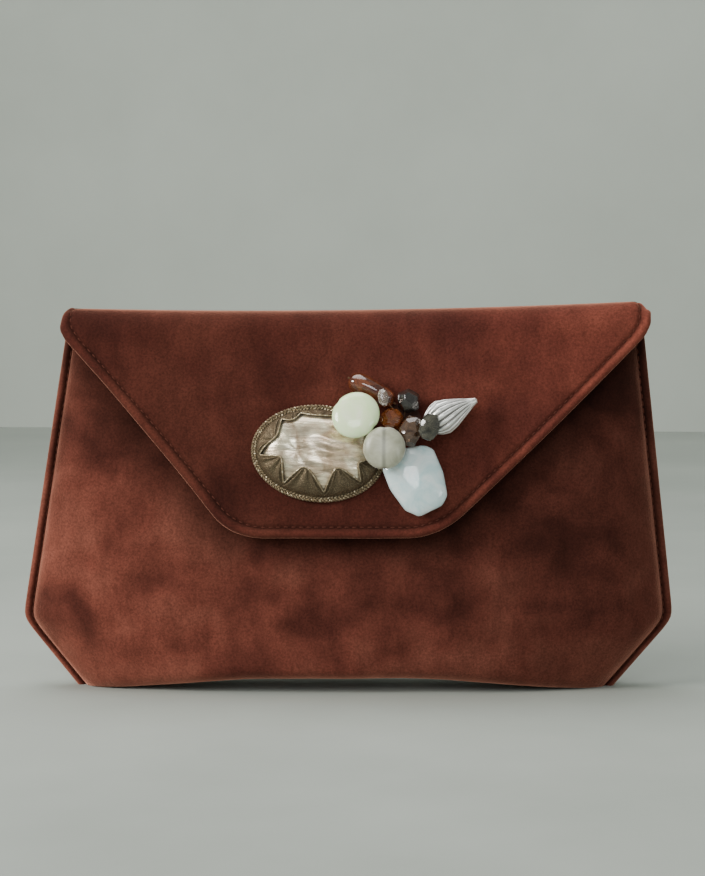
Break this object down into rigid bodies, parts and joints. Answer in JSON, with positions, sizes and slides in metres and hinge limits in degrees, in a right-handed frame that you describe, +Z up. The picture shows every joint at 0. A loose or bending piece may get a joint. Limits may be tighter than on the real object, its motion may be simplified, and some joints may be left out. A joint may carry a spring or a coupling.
{
  "type": "evening bag",
  "caption": "Padded velvet envelope clutch with cut lower corners, a pointed magnetic flap on a folding spine, and a sewn ornament of a wrapped shell dome and mixed beads.",
  "frame": {"origin": "middle of the base's underside, on the plane of the side seams", "axes": "+X across the bag, to the right when the flap faces the viewer, -Y out of the front, +Z up from the base to the fold"},
  "size_m": [0.2695, 0.0625, 0.1595],
  "materials": {
    "velvet": "short rust brown velvet pile, dark face on and copper at grazing angles",
    "padding": "white fibre wadding",
    "board": "grey bag board",
    "lining": "brown satin",
    "snap": "pale gold plated",
    "felt": "dark brown felt",
    "shell": "pearly shell with fine striations",
    "bronze": "pleated metallic bronze cloth and glitter braid",
    "mint_stone": "polished pale mint stone",
    "cloud_stone": "clouded grey green quartz, polished",
    "amber": "amber glass, polished",
    "smoke": "smoky glass, polished facets",
    "aqua_stone": "milky aqua quartz, polished facets",
    "silver": "fluted white metal, softly worn",
    "thread": "waxed brown thread"
  },
  "bodies": {
    "bag_body": {"front_panel": "velvet", "back_panel": "velvet", "base_panel": "velvet", "front_padding": "padding", "back_padding": "padding", "base_board": "board", "front_lining": "lining", "back_lining": "lining", "base_lining": "lining", "slip_pocket": "lining", "snap_socket": "snap", "snap_socket_washer": "snap"},
    "flap_spine": {"spine_velvet": "velvet", "spine_board": "board", "spine_lining": "lining"},
    "flap": {"flap_velvet": "velvet", "flap_board": "board", "flap_lining": "lining", "snap_stud": "snap", "snap_stud_washer": "snap", "cabochon_pad": "felt", "shell_cabochon": "shell", "cabochon_frame": "bronze", "braid_trim": "bronze", "bead_pad": "felt", "mint_coin_bead": "mint_stone", "clouded_bead": "cloud_stone", "amber_round_bead": "amber", "crystal_bead": "cloud_stone", "smoky_bead": "smoke", "brown_bead": "amber", "olive_bead": "smoke", "silver_bead_wire": "silver", "amber_barrel_thread": "thread", "aqua_stone_thread": "thread"},
    "silver_bead": {"silver_bead": "silver"},
    "amber_barrel": {"amber_barrel": "amber"},
    "aqua_stone": {"aqua_stone": "aqua_stone"}
  },
  "joints": [
    {"name": "flap_back_fold", "type": "hinge", "parent": "bag_body", "child": "flap_spine", "pos_m": [0, 0.0087, 0.1545], "axis": [-1, 0, 0], "range_deg": [0, 90]},
    {"name": "flap_front_fold", "type": "hinge", "parent": "flap_spine", "child": "flap", "pos_m": [0, -0.0135, 0.1545], "axis": [-1, 0, 0], "range_deg": [0, 90]},
    {"name": "silver_bead_spin", "type": "hinge", "parent": "flap", "child": "silver_bead", "pos_m": [0.0328, -0.03031, 0.11179], "axis": [0.891, 0.0959, 0.4437], "continuous": true},
    {"name": "amber_barrel_spin", "type": "hinge", "parent": "flap", "child": "amber_barrel", "pos_m": [0.0088, -0.02453, 0.12476], "axis": [-0.8704, 0.1041, 0.4813], "continuous": true},
    {"name": "aqua_stone_rock", "type": "hinge", "parent": "flap", "child": "aqua_stone", "pos_m": [0.02, -0.02588, 0.09722], "axis": [0, -0.9774, 0.2113], "range_deg": [-5, 5]}
  ],
  "couplings": [
    {"joint": "flap_front_fold", "follows": "flap_back_fold", "ratio": 1}
  ]
}
